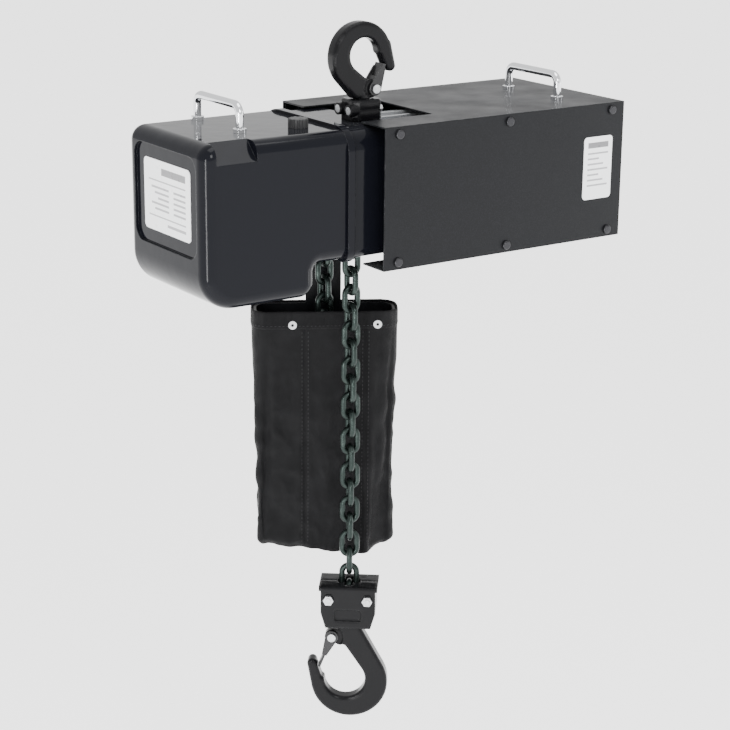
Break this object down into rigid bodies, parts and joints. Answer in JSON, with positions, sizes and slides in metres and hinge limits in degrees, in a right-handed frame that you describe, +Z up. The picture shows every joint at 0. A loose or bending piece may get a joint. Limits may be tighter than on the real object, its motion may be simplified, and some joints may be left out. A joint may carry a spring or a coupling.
{
  "type": "electric chain hoist",
  "caption": "Electric chain hoist: a gear case and motor in a sheet metal box hang from a swivel hook, and drive a load chain with a hook block and a chain bag.",
  "frame": {"origin": "the bearing point of the top hook, on its swivel axis", "axes": "+Z up along the swivel axis, +X along the hoist towards the electrics box, the front faces -Y"},
  "size_m": [0.509, 0.1916, 0.7463],
  "materials": {
    "gloss_black": "gloss",
    "satin_black": "satin",
    "hook_black": "gloss",
    "chain_black": "dark oxide",
    "bag_cloth": "woven",
    "chrome": "polished",
    "zinc": "zinc plated",
    "label_white": "printed film",
    "black_plastic": "moulded",
    "machined_steel": "machined",
    "cast_alloy": "cast",
    "laminations": "stacked sheet",
    "grey_plastic": "moulded",
    "rubber": "matt"
  },
  "bodies": {
    "housing": {"gear_case": "gloss_black", "gear_cover": "gloss_black", "chain_guide": "machined_steel", "breather_cap": "black_plastic", "end_label": "label_white", "cover_handle": "chrome", "box_handle": "chrome", "handle_collars": "chrome", "box_shell": "satin_black", "box_front_panel": "satin_black", "box_back_panel": "satin_black", "panel_screws": "satin_black", "box_label": "label_white", "control_inlet": "black_plastic", "motor_housing": "cast_alloy", "stator": "laminations", "motor_end_shield": "cast_alloy", "fan_cover": "satin_black", "brake_coil": "cast_alloy", "bearing_plate": "cast_alloy", "gearbox_bearings": "machined_steel", "rotor_bearings": "machined_steel", "suspension_yoke": "hook_black", "yoke_pins": "zinc", "bag_hanger": "satin_black", "chain_bag": "bag_cloth", "bag_eyelets": "zinc", "electrics_plate": "zinc", "contactors": "black_plastic", "transformer": "laminations", "terminal_block": "grey_plastic"},
    "top_hook": {"top_hook": "hook_black", "top_latch_rivet": "zinc"},
    "top_latch": {"top_latch": "hook_black"},
    "load_fall": {"load_chain": "chain_black", "guided_load_links": "chain_black", "block_front": "hook_black", "block_back": "hook_black", "block_bolts": "zinc", "chain_pin": "machined_steel"},
    "bottom_hook": {"bottom_hook": "hook_black", "bottom_hook_nut": "machined_steel", "bottom_latch_rivet": "zinc"},
    "bottom_latch": {"bottom_latch": "hook_black"},
    "slack_fall": {"slack_chain": "chain_black", "guided_slack_links": "chain_black", "chain_stop": "rubber"},
    "sheave": {"sheave_shaft": "machined_steel", "load_gear": "machined_steel", "load_sheave": "machined_steel", "wrapped_links": "chain_black"},
    "layshaft": {"layshaft": "machined_steel", "layshaft_gear": "machined_steel", "layshaft_pinion": "machined_steel"},
    "rotor": {"rotor_shaft": "machined_steel", "rotor_core": "laminations", "fan": "black_plastic", "brake_disc": "machined_steel", "motor_pinion": "machined_steel"},
    "brake_plate": {"brake_armature": "machined_steel"}
  },
  "joints": [
    {"name": "top_hook_swivel", "type": "hinge", "parent": "housing", "child": "top_hook", "pos_m": [0, 0, -0.06], "axis": [0, 0, 1], "continuous": true},
    {"name": "top_latch_hinge", "type": "hinge", "parent": "top_hook", "child": "top_latch", "pos_m": [0.012, 0, -0.051], "axis": [0, -1, 0], "range_deg": [0, 35], "stiffness_Nm_per_rad": 0.03, "springref_deg": -17.19},
    {"name": "hoist_travel", "type": "slide", "parent": "housing", "child": "load_fall", "axis": [0, 0, 1], "range_m": [-0.04, 0.025], "deforming": ["guided_load_links"]},
    {"name": "bottom_hook_swivel", "type": "hinge", "parent": "load_fall", "child": "bottom_hook", "pos_m": [-0.0105, 0, -0.61], "axis": [0, 0, 1], "continuous": true},
    {"name": "bottom_latch_hinge", "type": "hinge", "parent": "bottom_hook", "child": "bottom_latch", "pos_m": [-0.02468, 0.01108, -0.63835], "axis": [-0.6157, -0.788, 0], "range_deg": [0, 35], "stiffness_Nm_per_rad": 0.03, "springref_deg": -17.19},
    {"name": "slack_travel", "type": "slide", "parent": "housing", "child": "slack_fall", "axis": [0, 0, -1], "range_m": [-0.04, 0.04], "deforming": ["guided_slack_links"]},
    {"name": "sheave_spin", "type": "hinge", "parent": "housing", "child": "sheave", "pos_m": [-0.0105, 0.02496, -0.14], "axis": [1, 0, 0], "range_deg": [-95, 95], "deforming": ["wrapped_links"]},
    {"name": "layshaft_spin", "type": "hinge", "parent": "housing", "child": "layshaft", "pos_m": [-0.08, 0.02496, -0.188], "axis": [1, 0, 0], "range_deg": [-410, 410]},
    {"name": "rotor_spin", "type": "hinge", "parent": "housing", "child": "rotor", "pos_m": [-0.08, 0.02496, -0.14], "axis": [1, 0, 0], "range_deg": [-1970, 1970]},
    {"name": "brake_release", "type": "slide", "parent": "housing", "child": "brake_plate", "axis": [-1, 0, 0], "range_m": [0, 0.0005], "stiffness_N_per_m": 4000, "springref_m": -0.002}
  ],
  "couplings": [
    {"joint": "slack_travel", "follows": "hoist_travel", "ratio": 1},
    {"joint": "sheave_spin", "follows": "hoist_travel", "rad_per_m": -41.12},
    {"joint": "layshaft_spin", "follows": "hoist_travel", "rad_per_m": 178.19},
    {"joint": "rotor_spin", "follows": "hoist_travel", "rad_per_m": -858.54}
  ]
}
